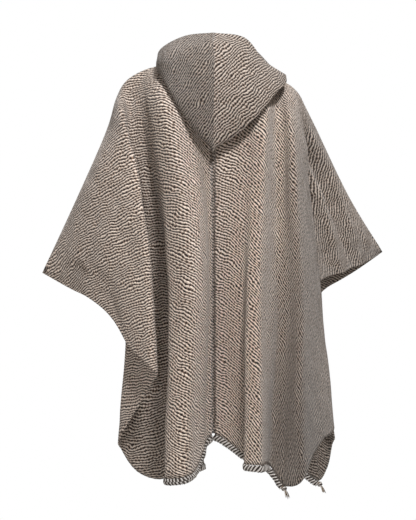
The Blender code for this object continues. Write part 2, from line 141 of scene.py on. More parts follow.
FOLDS_RIGHT = (
    (740, 1, (-450, -200), (-450, -200, -464), 0, (-450, -200), (-450, -200, -464), 0),
    (650, 1, (-404, -146), (-398, -150, -490), 77, (-408, -186), (-393, -190, -503), 75),
    (550, 2, (-356, -100), (-340, -92, -513), 160, (-362, -172), (-340, -172, -535), 140),
    (440, 2, (-300, -48), (-286, -42, -531), 237, (-308, -140), (-291, -144, -563), 200),
    (340, 2, (-256, -4), (-240, 2, -562), 300, (-262, -107), (-250, -102, -605), 270),
    (262, 1, (-219, 20), (-214, 16, -592), 350, (-222, -80), (-214, -86, -650), 330),
    (250, 1, (-210, 36), (-214, 38, -615), 378, (-212, -95), (-212, -110, -670), 355),
    (240, 1, (-223, 48), (-258, 40, -760), 520, (-225, -106), (-258, -132, -795), 500),
    (232, 1, (-239, 57), (-292, 40, -884), 655, (-240, -113), (-308, -122, -928), 655),
    (226, 1, (-243, 67), (-297, 53, -897), 672, (-243, -123), (-318, -135, -948), 675),
    (220, 1, (-238, 78), (-290, 67, -909), 695, (-238, -131), (-312, -149, -968), 705),
    (210, 1, (-228, 98), (-266, 98, -920), 740, (-231, -138), (-301, -163, -1030), 800),
    (198, 1, (-215, 117), (-238, 138, -957), 805, (-220, -142), (-279, -170, -1082), 950),
    (186, 1, (-200, 128), (-206, 172, -1013), 880, (-207, -150), (-240, -190, -1056), 1000),
    (174, 1, (-181, 101), (-170, 132, -1040), 950, (-188, -121), (-200, -104, -1035), 1060),
    (160, 2, (-152, 96), (-139, 106, -1000), 1030, (-160, -146), (-154, -180, -1020), 1130),
    (138, 2, (-112, 154), (-106, 212, -980), 1150, (-114, -164), (-112, -226, -1000), 1230),
    (124, 1, (-90, 150), (-76, 194, -979), 1250, (-92, -156), (-82, -210, -990), 1290),
    (114, 1, (-84, 141), (-81, 172, -972), 1290, (-84, -141), (-84, -176, -984), 1330),
    (104, 1, (-77, 132), (-80, 152, -966), 1370, (-82, -116), (-110, -96, -974), 1420),
    (93, 1, (-64, 128), (-66, 140, -958), 1420, (-72, -106), (-100, -70, -966), 1460),
    (78, 3, (-46, 124), (-47, 120, -945), 1500, (-46, -116), (-50, -76, -948), 1560),
    (40, 1, (-21, 119), (-22, 103, -930), 1610, (-20, -119), (-21, -92, -932), 1630),
    (0, 1, (0, 113), (0, 86, -922), 1690, (0, -120), (0, -98, -924), 1690),
)

# One row for each line of the hood from the neckline up to its own centre seam.
# The first follows the face opening and the last the back of the neck down to the point.
# cuts: pieces up to the next line; the other columns are points on the way
HOOD_COLUMNS = ("cuts", "base", "roll", "under", "fold", "outer", "upper", "seam")
HOOD_CUTS = (3, 3, 4, 4, 2, 2)
HOOD_CENTRE = (1, (0, 58, -9), (0, 74, 44), (0, 116, -100), (0, 134, -210),
               (0, 139, -221), (0, 142, -226), (0, 145, -230))
HOOD_LEFT = (
    (3, (3, -66, -42), (62, -62, 10), (114, -34, 18), (136, 22, 22),
     (122, 68, 36), (66, 104, 57), (0, 116, 62)),
    (3, (47, -46, -20), (78, -42, 34), (124, 4, 12), (138, 62, -10),
     (112, 112, 2), (54, 140, 20), (0, 152, 28)),
    (3, (67, 0, -2), (92, 6, 42), (122, 46, 4), (119, 100, -48),
     (78, 140, -50), (34, 158, -42), (0, 166, -32)),
    (3, (47, 37, -6), (62, 56, 44), (84, 92, -40), (84, 126, -114),
     (52, 152, -122), (22, 162, -114), (0, 166, -108)),
    (3, (21, 55, -9), (28, 72, 44), (34, 112, -90), (34, 138, -186),
     (20, 150, -190), (9, 154, -188), (0, 156, -186)),
    HOOD_CENTRE,
)
HOOD_RIGHT = (
    (3, (-3, -66, -42), (-64, -60, 8), (-122, -36, 8), (-180, 26, -27),
     (-124, 78, 1), (-76, 104, 52), (0, 116, 62)),
    (3, (-47, -46, -20), (-82, -40, 32), (-138, 8, 2), (-178, 58, -50),
     (-116, 114, -24), (-60, 138, 14), (0, 152, 28)),
    (3, (-67, 0, -2), (-94, 8, 40), (-134, 52, -8), (-148, 108, -84),
     (-98, 146, -72), (-46, 158, -46), (0, 166, -32)),
    (3, (-47, 37, -6), (-64, 56, 44), (-96, 92, -50), (-108, 140, -136),
     (-70, 158, -134), (-32, 164, -118), (0, 166, -108)),
    (3, (-21, 53.5, -9), (-30, 72, 44), (-40, 112, -96), (-42, 140, -194),
     (-26, 150, -194), (-11, 155, -190), (0, 156, -186)),
    HOOD_CENTRE,
)

# Creases on a panel, in places of the flat cut, which are negative down the front:
# from across, from down, to across, to down, width, and how far out, or in where negative
CREASES_LEFT = (
    (647, 88, 668, 158, 5, -3.0),
    (300, 60, 690, 70, 34, -3.5),
    (330, 190, 735, 240, 30, 3.0),
    (380, 150, 735, 170, 26, -2.5),
    (250, 40, 420, 330, 26, 2.5),
    (120, 160, 180, 520, 24, -3.0),
    (60, 330, 110, 700, 20, 2.5),
    (145, 10, 108, 75, 15, -10.0),
    (108, 75, 76, 140, 15, -11.0),
    (76, 140, 40, 192, 14, -10.0),
    (40, 192, 10, 215, 11, -8.0),
    (255, 24, 300, 330, 20, -10.0),
    (330, 300, 350, 820, 16, -2.5),
    (380, 420, 395, 930, 13, 2.0),
    (230, 520, 215, 900, 18, 2.0),
    (470, 120, 600, 330, 20, 2.2),
    (560, -60, 735, -120, 28, -3.0),
    (330, -120, 735, -210, 30, 3.0),
    (200, -140, 260, -620, 22, -3.0),
    (120, -180, 150, -760, 24, 2.5),
    (40, -260, 60, -640, 18, -2.5),
    (330, -360, 350, -860, 18, 2.5),
    (260, -60, 460, -300, 24, -2.5),
)
CREASES_RIGHT = (
    (250, 46, 690, 50, 18, -15.0),
    (300, 96, 735, 240, 22, 9.0),
    (280, 78, 735, 178, 14, -14.0),
    (300, 70, 735, 134, 13, 12.0),
    (480, 62, 735, 92, 11, -10.0),
    (250, 160, 262, 900, 26, -9.0),
    (60, 90, 22, 170, 12, -6.0),
    (270, 120, 700, 330, 26, -9.0),
    (290, 110, 560, 300, 22, -3.0),
    (170, 150, 130, 520, 24, 2.5),
    (80, 140, 100, 430, 22, -3.0),
    (30, 250, 26, 560, 14, 2.0),
    (120, 560, 150, 930, 17, -2.5),
    (260, 560, 300, 900, 15, 2.5),
    (330, 480, 372, 900, 13, -2.0),
    (500, -50, 735, -110, 24, 3.5),
    (320, -90, 735, -190, 28, -3.5),
    (180, -150, 210, -620, 22, 3.0),
    (90, -220, 110, -700, 20, -3.0),
    (300, -420, 330, -880, 18, -2.5),
    (40, -300, 50, -560, 16, 2.0),
)
# Creases on the outer side of the hood, in the same columns, but with heights in place of down
HOOD_CREASES = (
    (74, 20, 26, -60, 12, -4.0),
    (96, 2, 60, -90, 18, 2.0),
    (-20, -96, -96, -88, 8, -3.0),
    (-34, 30, -70, -40, 18, 2.5),
    (30, -110, 6, -190, 12, 2.0),
    (-60, 20, -120, -30, 14, -2.5),
    (-14, 40, -24, -60, 14, -2.0),
)
# Creases fade out past both ends of their line, by this share of it; the power flattens them
CREASE_OVERRUN = 0.15
CREASE_FADE = 0.8
# Creases start this far from the centre seam, and this share of the way down from the shoulder
CALM_ACROSS = 40.0
CALM_DOWN = 0.07
HOOD_CALM = 12.0
# Stretches of the hood's lines, from the neckline on, that its outer side hides
HOOD_INSIDE = 3

# Slow waves in cloth that nothing draws tight: size out, length across, length down, start
WAVES = ((0.9, 210, 330, 0.4), (0.6, 117, 241, 2.1), (0.45, 71, 149, 4.0), (0.3, 43, 83, 1.2))
# How each wave bends on its way down: length and start as shares of its own, and how far
BEND_LENGTH = 1.7
BEND_START = 2.3
BEND_SIZE = 1.4

FLECK_ANGLE = 145.0
FLECK_LENGTH = 9.0
FLECK_PITCH = 6.2
# Half length of a stroke in fleck lengths, by chance at least and at most so much more
FLECK_HALF_REACH = 0.40
FLECK_LEAST = 0.75
FLECK_RANGE = 0.45
# Where a stroke's end begins and stops to fade, in half lengths
FLECK_END = (0.85, 1.15)
# Where dark gives way to cream across a row of flecks, and how far the cream strokes lie ahead
LANE_EDGE = (0.225, 0.275)
CREAM_SHIFT = 0.5
# How far each row of flecks is shifted on from the last, and how far it strays, in fleck lengths
FLECK_STEP = 0.37
FLECK_STRAY = 0.3
# Height of the yarn across a row of flecks: in its middle, and the swell above and below
YARN_MIDDLE = 0.58
YARN_SWELL = 0.42
# How the lines of flecks wander: waves to the metre and how far, in metres
PATCH_STRAY = (24.0, 0.012)
YARN_STRAY = (85.0, 0.0040)
# Each yarn from a soft grey band to a bold warm one
DARK_YARN = ((0.022, 0.012, 0.008), (0.010, 0.004, 0.002))
CREAM_YARN = ((0.850, 0.740, 0.665), (1.000, 0.850, 0.730))
BETWEEN_STROKES = (0.29, 0.195, 0.14)
# Fibres along the yarn: how many to a fleck each way, their slant, colour, share and height
FIBRE_SCALE = (7.0, 10.0, 1.0)
FIBRE_SLANT = 18.0
FIBRE_BROWN = (0.16, 0.11, 0.08)
FIBRE_SHARE = 0.12
FIBRE_HEIGHT = 0.25
# Brightness in the gaps between the yarns, darkened there as painted shade, and on them, twice
# over as the band's tone is halved
GAP_HEIGHT = 0.6
GAP_SHADED_BRIGHTNESS = 1.5
YARN_BRIGHTNESS = 2.0
WOOL_RELIEF = 0.0016
RELIEF_STRENGTH = 0.9
HOOD_TURN = -85.0
# Bands of the weave: distance from the centre seam, negative on the right panel, how warm and
# bold its flecks are, and how light the whole band is. That lightness is partly the cloth's own
# bands and partly painted shade and painted light standing in for the shading of the folds
BANDS = (
    (-740, 0.70, 0.60), (-640, 0.80, 0.66), (-560, 0.70, 0.71), (-480, 0.70, 0.66),
    (-421, 0.65, 0.56), (-340, 0.80, 0.54), (-288, 0.70, 0.62), (-250, 0.60, 0.70),
    (-212, 0.72, 0.88), (-150, 0.80, 0.92), (-120, 0.65, 0.88), (-60, 0.75, 0.88),
    (-30, 0.40, 0.96), (0, 0.40, 0.96), (20, 0.80, 0.92), (60, 0.85, 0.92),
    (85, 0.50, 1.06), (115, 0.30, 1.10), (140, 0.35, 1.06), (160, 0.90, 0.90),
    (195, 0.95, 0.94), (225, 0.60, 0.92), (265, 0.50, 0.78), (320, 0.50, 0.80),
    (390, 0.50, 1.15), (430, 0.60, 1.10), (480, 0.65, 0.92), (570, 0.70, 0.97),
    (740, 0.75, 0.98),
)
# How the bands wander: waves to the metre, shift as a share of both widths, and in boldness
BAND_WAVES = 5.0
BAND_SHIFT = 0.02
BOLD_STRAY = 0.4
# Painted shade over each half of the hood, darkest on the left half, which the light reaches less
HOOD_PAINTED_SHADE = {"left": 0.53, "right": 0.76}
# Painted shade on the cloth towards the hem's outer corners: across and down in metres, and how
# much
CORNER_ACROSS = (0.30, 0.46)
CORNER_DOWN = (0.50, 0.80)
CORNER_PAINTED_SHADE = 0.40

# Yarns of the hems and seams: name, colour down in the wool, darkened there as painted shade, and
# on top
YARNS = (
    ("dark yarn", (0.030, 0.019, 0.013), (0.070, 0.045, 0.030)),
    ("pale yarn", (0.860, 0.800, 0.750), (1.000, 0.960, 0.920)),
    ("ochre yarn", (0.240, 0.150, 0.070), (0.420, 0.290, 0.160)),
)
DARK, PALE, OCHRE = range(len(YARNS))
PLY_RELIEF = 0.0008
PLY_GROOVE_SHADE = 0.55

CORE_RADIUS = CORD_HALF_THICKNESS - 1.2
WRAP_PITCH = 4.3
WRAP_RADIUS = 2.1
WRAP_SLANT = 8.0
WRAP_COLOURS = (PALE, DARK)
# The wraps' middle line goes round the core at these distances, and strays by so much
WRAP_TALL = CORD_DEPTH / 2 - WRAP_RADIUS + 1.5
WRAP_TALL_STRAY = 0.5
WRAP_THICK = CORD_HALF_THICKNESS - WRAP_RADIUS + 1.2
WRAP_THICK_STRAY = 0.3
WRAP_LEANS = (0.8, 1.2)
WRAP_SIZES = (0.9, 1.08)
ROUND = np.linspace(0.0, 2 * math.pi, 15)
YARN_SIDES = 6
# No strand of yarn runs this way, so it can be turned from it
TUBE_ASIDE = (0.31, 0.17, 0.93)

KNOT_COLOURS = (DARK, PALE, DARK, OCHRE, PALE)
KNOT_AWAY = 5.0
KNOT_RADIUS = 5.2
KNOT_YARN = 2.2
KNOT_STRAY = 0.2

TAIL_COLOURS = (DARK, OCHRE, PALE, OCHRE, DARK, OCHRE, PALE)
TAIL_LENGTH = 26.0
TAIL_SHORTEST = 0.75
TAIL_SAMPLES = 8
TAIL_SPACING = 1.3
# Where the tails start, away from the corner and down, and their run as shares of their length
TAIL_AWAY = (6.0, 0.55)
TAIL_DOWN = (3.0, 0.25, 0.55)
TAIL_SPREAD = (0.3, 1.3)
TAIL_RADIUS = 1.3
TAIL_TAPER = 0.9

STITCH_PITCH = 9.0
STITCH_STRAY = 0.12
STITCH_REACH = 5.0
STITCH_RADIUS = 0.9
STITCH_TAPER = 0.35
STITCH_SLANT = STITCH_PITCH * 0.32
# The stitches' middle stands this far out of the cloth's middle, and their ends dip into it
STITCH_LIFT = CLOTH_WALL / 2 + STITCH_RADIUS * 0.5
STITCH_DIP = 0.9
STITCH_SINK = 0.4
STITCH_SAMPLES = 7
STITCH_AHEAD = 2.0

FLOOR_DROP = 1.45
FLOOR_RADIUS = 1.42
FLOOR_SIDES = 96
FLOOR_COLOURS = ((0.80, 0.80, 0.79), (0.84, 0.84, 0.83))
# name, place in metres, size across and power
LIGHTS = (
    ("key", (-0.75, 2.4, 2.6), 0.6, 166.0),
    ("fill", (0.3, 3.2, -0.3), 1.2, 14.0),
    ("front", (0.8, -3.0, 0.9), 1.8, 80.0),
)
LIGHT_AIM = (0.0, 0.0, -0.5)
# Colour and strength of the surroundings as the camera sees them, and as they light the cloth
SEEN_WORLD = ((1.0, 1.0, 1.0, 1.0), 1.0)
SOFT_WORLD = ((1.0, 0.91, 0.82, 1.0), 0.245)
CAMERA_PLACE = (0.0125, 3.2, -0.485)
CAMERA_TURN = (math.radians(90.0), 0.0, math.radians(180.0))
CAMERA_LENS = 88.6
CAMERA_SENSOR = 36.0


class Nodes:
    """Short way of adding linked nodes to one material."""

    def __init__(self, name, roughness, sheen=0.0):
        self.material = bpy.data.materials.new(name)
        self.material.use_nodes = True
        self.tree = self.material.node_tree
        self.shader = self.tree.nodes["Principled BSDF"]
        self.shader.inputs["Roughness"].default_value = roughness
        self.shader.inputs["Specular IOR Level"].default_value = 0.2
        self.shader.inputs["Sheen Weight"].default_value = sheen

    def put(self, kind, inputs, **settings):
        made = self.tree.nodes.new(kind)
        for key, value in settings.items():
            setattr(made, key, value)
        for key, value in inputs.items():
            if isinstance(value, bpy.types.NodeSocket):
                self.tree.links.new(value, made.inputs[key])
            else:
                made.inputs[key].default_value = value
        return made

    def math(self, operation, first, second=0.0, third=0.0):
        inputs = {0: first, 1: second, 2: third}
        return self.put("ShaderNodeMath", inputs, operation=operation).outputs[0]

    def mix(self, share, first, second, blend="MIX"):
        made = self.put("ShaderNodeMix", {"Factor": share}, data_type="RGBA", blend_type=blend)
        for place, value in ((6, first), (7, second)):
            if isinstance(value, bpy.types.NodeSocket):
                self.tree.links.new(value, made.inputs[place])
            else:
                made.inputs[place].default_value = (*value, 1.0)
        return made.outputs[2]

    def between(self, value, low, high, to_low=0.0, to_high=1.0):
        inputs = {0: value, 1: low, 2: high, 3: to_low, 4: to_high}
        kind = "ShaderNodeMapRange"
        return self.put(kind, inputs, interpolation_type="SMOOTHSTEP").outputs[0]

    def places(self, layer):
        return self.put("ShaderNodeUVMap", {}, uv_map=layer).outputs[0]

    def split(self, socket):
        return self.put("ShaderNodeSeparateXYZ", {0: socket}).outputs

    def noise(self, inputs, dimensions="3D", output=0):
        made = self.put("ShaderNodeTexNoise", inputs, noise_dimensions=dimensions)
        return made.outputs[output]

    def shaded(self, colour, shade):
        grey = self.put("ShaderNodeCombineXYZ", {0: shade, 1: shade, 2: shade}).outputs[0]
        return self.mix(1.0, colour, grey, "MULTIPLY")

    def colour(self, socket):
        self.tree.links.new(socket, self.shader.inputs["Base Color"])

    def relief(self, height, distance, strength=1.0):
        inputs = {"Height": height, "Distance": distance, "Strength": strength}
        bump = self.put("ShaderNodeBump", inputs)
        self.tree.links.new(bump.outputs[0], self.shader.inputs["Normal"])


def strayed(make, weave, scale, reach):
    """Places of the weave shifted by noise of one scale."""
    noise = make.noise({"Vector": weave, "Scale": scale, "Detail": 1.0}, "2D", "Color")
    centred = make.put("ShaderNodeVectorMath", {0: noise, 1: (0.5, 0.5, 0.5)},
                       operation="SUBTRACT").outputs[0]
    return make.put("ShaderNodeVectorMath", {0: centred, 1: (reach, reach, 0.0), 2: weave},
                    operation="MULTIPLY_ADD").outputs[0]


def fleck_rows(make, weave):
    """Places of the weave in fleck lengths along and fleck pitches across the slanting rows."""
    bent = strayed(make, weave, *PATCH_STRAY)
    bent = strayed(make, bent, *YARN_STRAY)
    return make.put("ShaderNodeMapping",
                    {"Vector": bent, "Rotation": (0.0, 0.0, math.radians(FLECK_ANGLE)),
                     "Scale": (FLECK_LENGTH * MM, FLECK_PITCH * MM, 1.0)},
                    vector_type="TEXTURE").outputs[0]


def flecks(make, weave):
    """Strokes of dark and cream yarn in turn, at places of the weave.

    Returns the share of cream, where a stroke lies, and the height of the yarn and its fibres.
    """
    turned = fleck_rows(make, weave)
    parts = make.split(turned)
    row = make.math("FLOOR", parts[1])
    slide = make.put("ShaderNodeTexWhiteNoise", {"W": row}, noise_dimensions="1D").outputs[0]
    run = make.math("MULTIPLY_ADD", row, FLECK_STEP, parts[0])
    run = make.math("MULTIPLY_ADD", slide, FLECK_STRAY, run)
    key = make.put("ShaderNodeCombineXYZ", {0: make.math("FLOOR", run), 1: row}).outputs[0]
    chance = make.put("ShaderNodeTexWhiteNoise", {"Vector": key}, noise_dimensions="2D").outputs[0]
    size = make.math("MULTIPLY_ADD", chance, FLECK_RANGE, FLECK_LEAST)
    half = make.math("MULTIPLY", size, FLECK_HALF_REACH)
    ends = []
    for place in (run, make.math("ADD", run, CREAM_SHIFT)):
        from_middle = make.math("SUBTRACT", make.math("FRACT", place), 0.5)
        reach = make.math("DIVIDE", make.math("ABSOLUTE", from_middle), half)
        ends.append(make.between(reach, *FLECK_END, 1.0, 0.0))
    lane = make.math("SUBTRACT", make.math("FRACT", parts[1]), 0.5)
    cream = make.between(make.math("ABSOLUTE", lane), *LANE_EDGE)
    stroke = make.put("ShaderNodeMix", {0: cream, 2: ends[0], 3: ends[1]}).outputs[0]
    swell = make.math("COSINE", make.math("MULTIPLY", lane, 4.0 * math.pi))
    height = make.math("MULTIPLY_ADD", swell, YARN_SWELL, YARN_MIDDLE)
    fibre_place = make.put("ShaderNodeMapping",
                           {"Vector": turned, "Scale": FIBRE_SCALE,
                            "Rotation": (0.0, 0.0, math.radians(FIBRE_SLANT))}).outputs[0]
    fibres = make.noise({"Vector": fibre_place, "Scale": 1.0, "Detail": 3.0}, "2D")
    return cream, stroke, height, fibres


def band_of(make, across, stray):
    """Boldness and half the tone of the band that a place across the cloth lies in; the tone holds
    painted shade and painted light.
    """
    place = make.math("MULTIPLY_ADD", across, 0.5 / (PANEL_WIDTH * MM), 0.5)
    ramp = make.put("ShaderNodeValToRGB", {0: make.math("MULTIPLY_ADD", stray, BAND_SHIFT, place)})
    stops = ramp.color_ramp.elements
    for number, (from_centre, bold, tone) in enumerate(BANDS):
        at = 0.5 + 0.5 * from_centre / PANEL_WIDTH
        stop = stops[number] if number < 2 else stops.new(at)
        stop.position = at
        stop.color = (bold, tone / 2, 0.0, 1.0)
    band = make.split(ramp.outputs[0])
    return make.math("MULTIPLY_ADD", stray, BOLD_STRAY, band[0]), band[1]


def wool_twill(name, tone):
    """Chunky twill of dark brown and cream yarn, in slanting flecks and lengthwise bands, with
    painted shade and light laid over them.
    """
    make = Nodes(name, 0.95, sheen=0.25)
    make.shader.inputs["Sheen Roughness"].default_value = 0.6
    cream, stroke, height, fibres = flecks(make, make.places("weave"))
    cloth = make.places("cloth")
    sides = make.split(cloth)
    wander = make.noise({"Vector": cloth, "Scale": BAND_WAVES, "Detail": 2.0}, "2D")
    bold, half_tone = band_of(make, sides[0], make.math("SUBTRACT", wander, 0.5))
    strokes = make.mix(cream, make.mix(bold, *DARK_YARN), make.mix(bold, *CREAM_YARN))
    wool = make.mix(stroke, BETWEEN_STROKES, strokes)
    wool = make.mix(make.between(fibres, 0.3, 0.7, 0.0, FIBRE_SHARE), wool, FIBRE_BROWN)
    # Painted shade towards the hem's outer corners
    outer = make.between(make.math("ABSOLUTE", sides[0]), *CORNER_ACROSS)
    lower = make.between(make.math("ABSOLUTE", sides[1]), *CORNER_DOWN)
    corner = make.math("MULTIPLY_ADD", make.math("MULTIPLY", outer, lower), -CORNER_PAINTED_SHADE, 1.0)
    # Painted shade in the gaps between the yarns, where their height is low
    gaps = make.between(height, 0.0, GAP_HEIGHT, GAP_SHADED_BRIGHTNESS * tone, YARN_BRIGHTNESS * tone)
    shade = make.math("MULTIPLY", make.math("MULTIPLY", gaps, half_tone), corner)
    make.colour(make.shaded(wool, shade))
    relief = make.math("MULTIPLY_ADD", fibres, FIBRE_HEIGHT, height)
    make.relief(relief, WOOL_RELIEF, RELIEF_STRENGTH)
    return make.material


def plied_yarn(name, deep, pale):
    """Thick plied wool yarn, its plies slanting round it."""
    make = Nodes(name, 0.9, sheen=0.2)
    wave = {"Vector": make.places("cloth"), "Scale": 0.35, "Distortion": 0.6}
    plies = make.put("ShaderNodeTexWave", wave, bands_direction="DIAGONAL").outputs[1]
    spots = make.put("ShaderNodeNewGeometry", {}).outputs["Position"]
    wool = make.noise({"Vector": spots, "Scale": 420.0, "Detail": 3.0})
    # Darker colour where the wool's relief is low, as painted shade
    base = make.mix(make.between(wool, 0.3, 0.7), deep, pale)
    # Painted shade in the grooves between the plies
    make.colour(make.shaded(base, make.between(plies, 0.0, 0.7, PLY_GROOVE_SHADE, 1.0)))
    make.relief(make.math("MULTIPLY_ADD", wool, 0.5, plies), PLY_RELIEF)
    return make.material


def floor_finish():
    """Pale matt floor with a faint mottle."""
    make = Nodes("floor", 0.8)
    spots = make.put("ShaderNodeTexCoord", {}).outputs["Object"]
    mottle = make.noise({"Vector": spots, "Scale": 3.0, "Detail": 4.0})
    make.colour(make.mix(mottle, *FLOOR_COLOURS))
    return make.material


def unit(vector):
    """Direction of a vector, at length one."""
    return vector / max(np.linalg.norm(vector), SHORTEST_GAP)


def lengths_along(points, axis=0):
    """Distance from the start of a path to each of its points, or along each line of a grid."""
    steps = np.linalg.norm(np.diff(points, axis=axis), axis=-1)
    return np.insert(np.cumsum(steps, axis=axis), 0, 0.0, axis=axis)


def value_at(values, reach, at):
    """Point or direction at one distance along a path."""
    return np.array([np.interp(at, reach, values[:, k]) for k in range(3)])


def along(polyline, share):
    """Point of a polyline at a share of its whole length."""
    reach = lengths_along(polyline)
    return value_at(polyline, reach, share * reach[-1])


def even_steps(path, pitch):
    """Points of a path at even distances of about one pitch."""
    reach = lengths_along(path)
    count = max(int(reach[-1] / pitch), 2)
    wanted = (np.arange(count) + 0.5) * reach[-1] / count
    return np.array([value_at(path, reach, at) for at in wanted])


def spline(points, cuts, power=0.5):
    """Smooth curve through the points, each stretch cut into its own number of pieces."""
    knots = np.asarray(points, dtype=float)
    padded = np.vstack([2 * knots[0] - knots[1], knots, 2 * knots[-1] - knots[-2]])
    gaps = np.maximum(np.linalg.norm(np.diff(padded, axis=0), axis=1), SHORTEST_GAP) ** power
    places = np.concatenate([[0.0], np.cumsum(gaps)])
    out = []
    for i, pieces in enumerate(cuts):
        a, b, c, d = padded[i:i + 4]
        ta, tb, tc, td = places[i:i + 4]
        for step in range(pieces):
            t = tb + (tc - tb) * step / pieces
            ab = a * (tb - t) / (tb - ta) + b * (t - ta) / (tb - ta)
            bc = b * (tc - t) / (tc - tb) + c * (t - tb) / (tc - tb)
            cd = c * (td - t) / (td - tc) + d * (t - tc) / (td - tc)
            abc = ab * (tc - t) / (tc - ta) + bc * (t - ta) / (tc - ta)
            bcd = bc * (td - t) / (td - tb) + cd * (t - tb) / (td - tb)
            out.append(abc * (tc - t) / (tc - tb) + bcd * (t - tb) / (tc - tb))
    out.append(knots[-1])
    return np.array(out)


def blend_steps(values, cuts):
    """Evenly stepped values between the rows of a table, in the same pieces as its spline."""
    out = []
    for first, last, pieces in zip(values[:-1], values[1:], cuts):
        out += [first + (last - first) * step / pieces for step in range(pieces)]
    return np.array(out + [values[-1]], dtype=float)


def folds_of(table, face):
    """Fold lines of a panel's back or front, with their columns named."""
    shared = len(FOLD_COLUMNS)
    start = shared if face > 0 else shared + len(FACE_COLUMNS)
    return [dict(zip(FOLD_COLUMNS + FACE_COLUMNS, row[:shared] + row[start:])) for row in table]


def top_point(ridge_line, distance, side, face):
    """Where a fold line starts: on the ridge, or on the neckline for short distances."""
    if distance >= NECK_HALF_WIDTH:
        share = (distance - NECK_HALF_WIDTH) / (PANEL_WIDTH - NECK_HALF_WIDTH)
        return along(ridge_line, share)
    turn = math.acos(distance / NECK_HALF_WIDTH)
    depth = NECK_BACK_DEPTH if face > 0 else NECK_FRONT_DEPTH
    drop = NECK_BACK_DROP if face > 0 else NECK_FRONT_DROP
    return np.array([side * distance, face * depth * math.sin(turn), -drop * math.sin(turn) ** 2])


def fold_line(top, mid, end, shares):
    """Points down one fold line, which rounds the shoulder and then falls to the edge."""
    middle = np.array([mid[0], mid[1], top[2] + MID_SHARE * (end[2] - top[2])])
    crown = top + (middle - top) * np.array([CROWN_ACROSS, CROWN_OUT, CROWN_DOWN])
    dense = spline([top, crown, middle, end], FOLD_SAMPLES, power=1.0)
    return np.array([along(dense, share) for share in shares])


def grid_through(lines, cuts):
    """Grid of points whose rows across are curves through the lines, and count down along them."""
    across = [spline([line[k] for line in lines], cuts) for k in range(len(lines[0]))]
    return np.array(across).transpose(1, 0, 2)


def face_grid(rows, ridge_line, side, face, shares):
    """Grid of points of one panel's back or front, and each point's place in the flat cut."""
    lines = []
    for row in rows:
        top = top_point(ridge_line, row["ridge"], side, face)
        end = np.array(row["end"], dtype=float)
        if row["edge"] >= PANEL_HALF_LENGTH:
            end = end + np.array([0.0, 0.0, CORD_DEPTH + CORD_SEAT])
        lines.append(fold_line(top, row["mid"], end, shares))
    cuts = [row["cuts"] * FINE_ACROSS for row in rows[:-1]]
    grid = grid_through(lines, cuts)
    starts = blend_steps([row["ridge"] for row in rows], cuts)
    grid[:, 0] = [top_point(ridge_line, start, side, face) for start in starts]
    edges = blend_steps([row["edge"] for row in rows], cuts)
    from_centre = lengths_along(grid[::-1, -1])[::-1]
    hem_width = np.interp(PANEL_HALF_LENGTH, edges, from_centre)
    narrowing = (PANEL_WIDTH - hem_width) * (edges / PANEL_HALF_LENGTH) ** 2
    place = np.where(edges < PANEL_HALF_LENGTH, PANEL_WIDTH - narrowing, from_centre)
    ends = np.stack([place, np.minimum(edges, PANEL_HALF_LENGTH)], axis=1)
    tops = np.stack([starts, np.zeros(len(starts))], axis=1)
    share = np.array(shares)[None, :, None]
    cloth = tops[:, None] * (1 - share) + ends[:, None] * share
    return grid, cloth


def unrolled(grid, start, free):
    """Weave places relaxed from their start, where free, towards the folded cloth's spacing."""
    flat = start.copy()
    most, rest, every, inner = slice(None, -1), slice(1, None), slice(None), slice(1, -1)
    pairs = (((most, every), (rest, every)), ((every, most), (every, rest)),
             ((most, most), (rest, rest)), ((most, rest), (rest, most)))
    spans = [np.linalg.norm(grid[b] - grid[a], axis=2, keepdims=True) for a, b in pairs]
    for _ in range(UNROLL_ROUNDS):
        move = np.zeros_like(flat)
        for (a, b), span in zip(pairs, spans):
            gap = flat[b] - flat[a]
            length = np.maximum(np.linalg.norm(gap, axis=2, keepdims=True), SHORTEST_GAP)
            pull = gap * (1.0 - span / length)
            move[a] += pull
            move[b] -= pull
        drift = flat + UNROLL_PULL * move - start
        around = drift[:-2, inner] + drift[2:, inner] + drift[inner, :-2] + drift[inner, 2:]
        drift[inner, inner] += UNROLL_EASE * (around / 4 - drift[inner, inner])
        flat = np.where(free[..., None], start + drift, flat)
    return flat


def gathered_start(grid, cloth):
    """Weave places to relax from: the flat cut, drawn in and as long as it is by the seam."""
    start = cloth.copy()
    start[..., 0] -= CENTRE_GATHER * (1.0 - np.exp(-start[..., 0] / GATHER_REACH))
    start[-1, :, 1] = lengths_along(grid[-1])
    return start


def add_seam_strip(grid, layers, side):
    """End a panel's grid in a narrow flat strip along the centre seam."""
    strip = grid[-1].copy()
    strip[:, 0] = side * SEAM_STRIP
    last = grid[-1].copy()
    last[:, 0] = side * SEAM_GAP / 2
    grid = np.concatenate([grid[:-1], [strip], [last]])
    near = layers[-1] + np.array([SEAM_STRIP, 0.0, SEAM_STRIP, 0.0])
    return grid, np.concatenate([layers[:-1], [near], layers[-1:]])


def normals_of(grid, face_out):
    """Unit directions out of a grid at each of its points."""
    across = np.gradient(grid, axis=0)
    down = np.gradient(grid, axis=1)
    out = np.cross(across, down) * face_out
    size = np.linalg.norm(out, axis=2, keepdims=True)
    return out / np.maximum(size, SHORTEST_GAP)


def crease_depth(places, creases):
    """How far each point stands out or in, from soft troughs and ridges along short lines."""
    total = np.zeros(places.shape[:-1])
    for from_across, from_down, to_across, to_down, width, out in creases:
        start = np.array([from_across, from_down], dtype=float)
        run = np.array([to_across, to_down], dtype=float) - start
        share = ((places - start) @ run) / (run @ run)
        share = np.clip(share, -CREASE_OVERRUN, 1.0 + CREASE_OVERRUN)
        nearest = start + share[..., None] * run
        away = np.linalg.norm(places - nearest, axis=-1)
        whole = (share + CREASE_OVERRUN) / (1.0 + 2 * CREASE_OVERRUN)
        fade = np.sin(np.clip(whole, 0.0, 1.0) * math.pi) ** CREASE_FADE
        total += out * fade * np.exp(-(away / width) ** 2)
    return total


